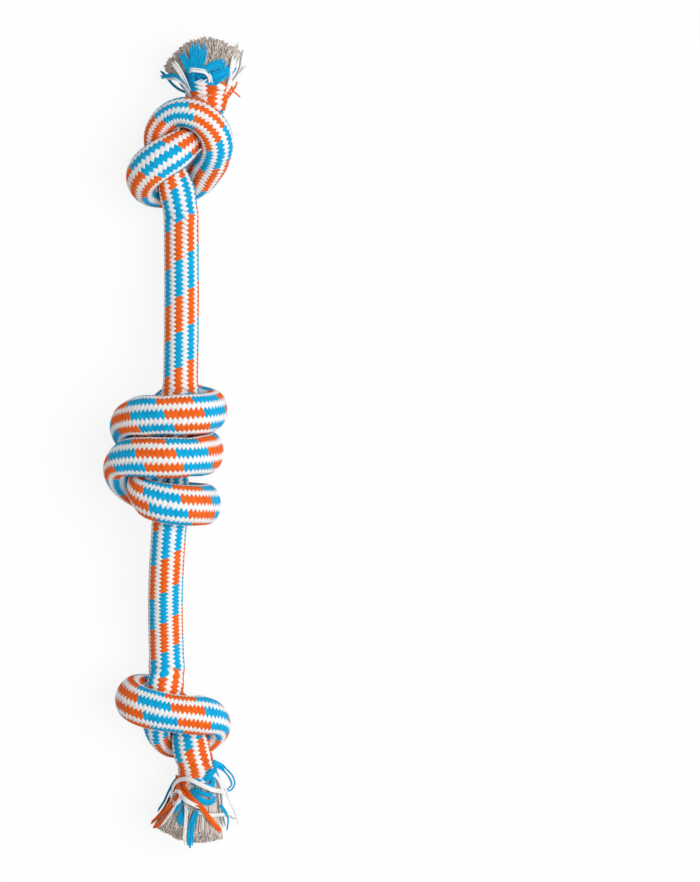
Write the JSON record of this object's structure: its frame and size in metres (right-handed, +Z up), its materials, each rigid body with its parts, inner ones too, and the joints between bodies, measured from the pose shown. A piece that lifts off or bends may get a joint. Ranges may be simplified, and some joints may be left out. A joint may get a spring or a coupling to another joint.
{
  "type": "rope dog toy",
  "caption": "Tug toy for dogs: a thick braided cotton rope with an overhand knot near each end, a larger knot in the middle and both ends frayed into tassels.",
  "frame": {"origin": "on the ground under the middle of the toy's box, with the toy lying on its knots", "axes": "+Z up, +Y along the toy towards the top knot, +X across it, as seen from above in the picture"},
  "size_m": [0.0938, 0.509, 0.0713],
  "materials": {
    "braided_cover": "tubular braid of soft cotton strands, white one way and blue or orange the other",
    "core_yarn": "loosely twisted undyed grey cotton yarns",
    "white_yarn": "soft matt white cotton yarn",
    "blue_yarn": "soft matt bright blue cotton yarn",
    "orange_yarn": "soft matt bright orange cotton yarn"
  },
  "bodies": {
    "middle_knot": {"middle_knot_cover": "braided_cover", "middle_knot_core": "core_yarn"},
    "upper_rope_1": {"upper_rope_cover_1": "braided_cover", "upper_rope_core_1": "core_yarn"},
    "upper_rope_2": {"upper_rope_cover_2": "braided_cover", "upper_rope_core_2": "core_yarn"},
    "upper_rope_3": {"upper_rope_cover_3": "braided_cover", "upper_rope_core_3": "core_yarn"},
    "top_knot": {"top_knot_cover": "braided_cover", "top_knot_core": "core_yarn"},
    "top_tassel": {"top_tassel_core": "core_yarn", "top_tassel_white_yarn_1": "white_yarn", "top_tassel_white_yarn_2": "white_yarn", "top_tassel_white_yarn_3": "white_yarn", "top_tassel_blue_yarn_1": "blue_yarn", "top_tassel_blue_yarn_2": "blue_yarn", "top_tassel_blue_yarn_3": "blue_yarn", "top_tassel_orange_yarn_1": "orange_yarn", "top_tassel_orange_yarn_2": "orange_yarn"},
    "lower_rope_1": {"lower_rope_cover_1": "braided_cover", "lower_rope_core_1": "core_yarn"},
    "lower_rope_2": {"lower_rope_cover_2": "braided_cover", "lower_rope_core_2": "core_yarn"},
    "lower_rope_3": {"lower_rope_cover_3": "braided_cover", "lower_rope_core_3": "core_yarn"},
    "bottom_knot": {"bottom_knot_cover": "braided_cover", "bottom_knot_core": "core_yarn"},
    "bottom_tassel": {"bottom_tassel_core": "core_yarn", "bottom_tassel_white_yarn_1": "white_yarn", "bottom_tassel_white_yarn_2": "white_yarn", "bottom_tassel_white_yarn_3": "white_yarn", "bottom_tassel_blue_yarn_1": "blue_yarn", "bottom_tassel_blue_yarn_2": "blue_yarn", "bottom_tassel_blue_yarn_3": "blue_yarn", "bottom_tassel_orange_yarn_1": "orange_yarn", "bottom_tassel_orange_yarn_2": "orange_yarn"}
  },
  "joints": [
    {"name": "upper_bend_1", "type": "hinge", "parent": "middle_knot", "child": "upper_rope_1", "pos_m": [0.00068, 0.04149, 0.03681], "axis": [0, 0, 1], "range_deg": [-30, 30]},
    {"name": "upper_bend_2", "type": "hinge", "parent": "upper_rope_1", "child": "upper_rope_2", "pos_m": [0.00105, 0.07103, 0.03308], "axis": [1, 0, 0], "range_deg": [-30, 30]},
    {"name": "upper_bend_3", "type": "hinge", "parent": "upper_rope_2", "child": "upper_rope_3", "pos_m": [0.00109, 0.10056, 0.02935], "axis": [0, 0, 1], "range_deg": [-30, 30]},
    {"name": "upper_bend_4", "type": "hinge", "parent": "upper_rope_3", "child": "top_knot", "pos_m": [0.00078, 0.13009, 0.02563], "axis": [1, 0, 0], "range_deg": [-30, 30]},
    {"name": "top_tassel_swing", "type": "hinge", "parent": "top_knot", "child": "top_tassel", "pos_m": [0.01728, 0.22359, 0.01947], "axis": [0, 0, 1], "range_deg": [-20, 20]},
    {"name": "lower_bend_1", "type": "hinge", "parent": "middle_knot", "child": "lower_rope_1", "pos_m": [-0.00746, -0.06631, 0.03681], "axis": [0, 0, 1], "range_deg": [-30, 30]},
    {"name": "lower_bend_2", "type": "hinge", "parent": "lower_rope_1", "child": "lower_rope_2", "pos_m": [-0.00884, -0.08814, 0.03359], "axis": [1, 0, 0], "range_deg": [-30, 30]},
    {"name": "lower_bend_3", "type": "hinge", "parent": "lower_rope_2", "child": "lower_rope_3", "pos_m": [-0.00917, -0.10997, 0.03036], "axis": [0, 0, 1], "range_deg": [-30, 30]},
    {"name": "lower_bend_4", "type": "hinge", "parent": "lower_rope_3", "child": "bottom_knot", "pos_m": [-0.00846, -0.13181, 0.02714], "axis": [1, 0, 0], "range_deg": [-30, 30]},
    {"name": "bottom_tassel_swing", "type": "hinge", "parent": "bottom_knot", "child": "bottom_tassel", "pos_m": [0.01178, -0.21321, 0.02714], "axis": [0, 0, 1], "range_deg": [-20, 20]}
  ]
}
